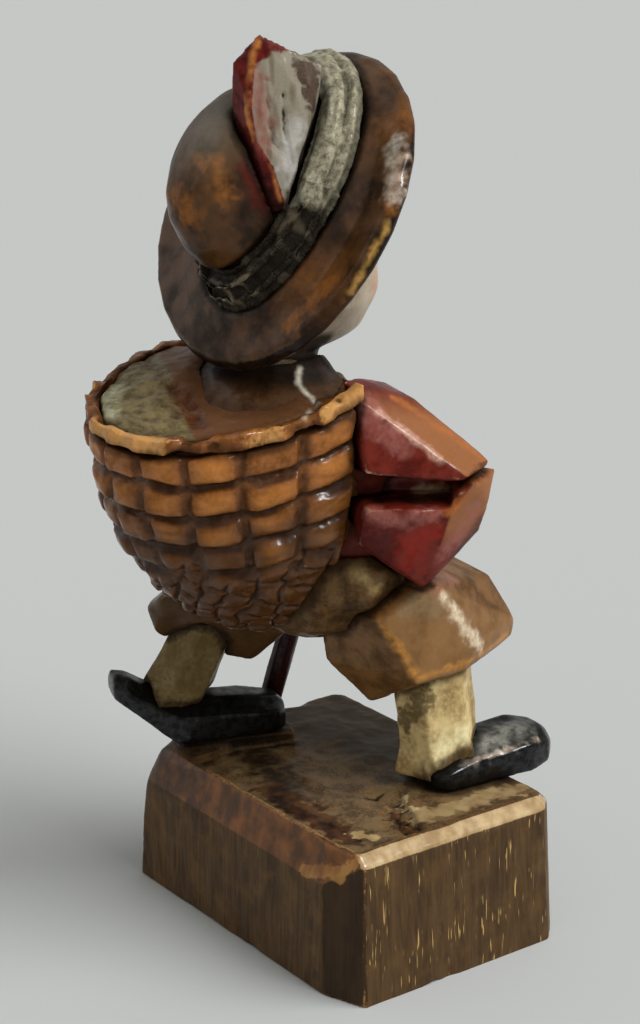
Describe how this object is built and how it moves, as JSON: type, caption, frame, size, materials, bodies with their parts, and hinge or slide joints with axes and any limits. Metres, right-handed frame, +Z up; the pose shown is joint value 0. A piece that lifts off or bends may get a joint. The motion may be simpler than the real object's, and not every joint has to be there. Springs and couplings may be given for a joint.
{
  "type": "carved wooden figurine",
  "caption": "Hand-carved painted wooden boy in a tilted feathered hat, striding with a staff and a woven pack basket on a bevelled block base.",
  "frame": {"origin": "centre of the base's footprint, on its flat underside", "axes": "+Z up, the boy faces -Y, +X is the boy's left"},
  "size_m": [0.0451, 0.0494, 0.1008],
  "materials": {
    "base_wood": "dark brown stain worn through at the edges, satin varnish",
    "shoe_paint": "glossy black paint, worn at the edges",
    "stocking_paint": "mottled ochre and cream paint, semi-gloss",
    "breeches_stain": "golden brown stain over knife facets, glossy varnish",
    "seat_stain": "olive brown stain, satin varnish",
    "sleeve_paint": "deep red paint, glossy, worn to orange wood on the ridges",
    "jacket_paint": "deep red paint, glossy, worn on the ridges",
    "vest_stain": "brown stain, glossy varnish",
    "linen_paint": "cream paint, satin",
    "skin_paint": "pale flesh tint over light wood, satin",
    "hair_stain": "brown stain, satin",
    "hat_stain": "very dark brown stain with amber wear, glossy varnish",
    "cord_paint": "grey green paint with dirt in the hollows",
    "feather_paint": "red paint with a silver grey outer face, glossy",
    "basket_stain": "golden brown stain on the high pads, dark grooves, glossy varnish",
    "load_paint": "grey green mottled paint, matt",
    "strap_stain": "leather brown stain, satin",
    "staff_paint": "dark maroon paint, glossy"
  },
  "bodies": {
    "root": {"staff": "staff_paint", "base_block": "base_wood", "right_shoe": "shoe_paint", "left_shoe": "shoe_paint", "hat_feather": "feather_paint", "hat_cord": "cord_paint", "hat_crown": "hat_stain", "hat_brim": "hat_stain", "head": "skin_paint", "hair": "hair_stain", "shirt_collar": "linen_paint", "right_upper_sleeve": "sleeve_paint", "right_fore_sleeve": "sleeve_paint", "left_hand": "skin_paint", "left_upper_sleeve": "sleeve_paint", "left_fore_sleeve": "sleeve_paint", "shirt_front": "linen_paint", "vest_back": "vest_stain", "jacket_body": "jacket_paint", "right_strap": "strap_stain", "left_strap": "strap_stain", "right_stocking": "stocking_paint", "left_stocking": "stocking_paint", "right_breeches_leg": "breeches_stain", "left_breeches_leg": "breeches_stain", "breeches_seat": "seat_stain", "basket_rim": "basket_stain", "basket_shell": "basket_stain", "basket_load": "load_paint"}
  },
  "joints": []
}
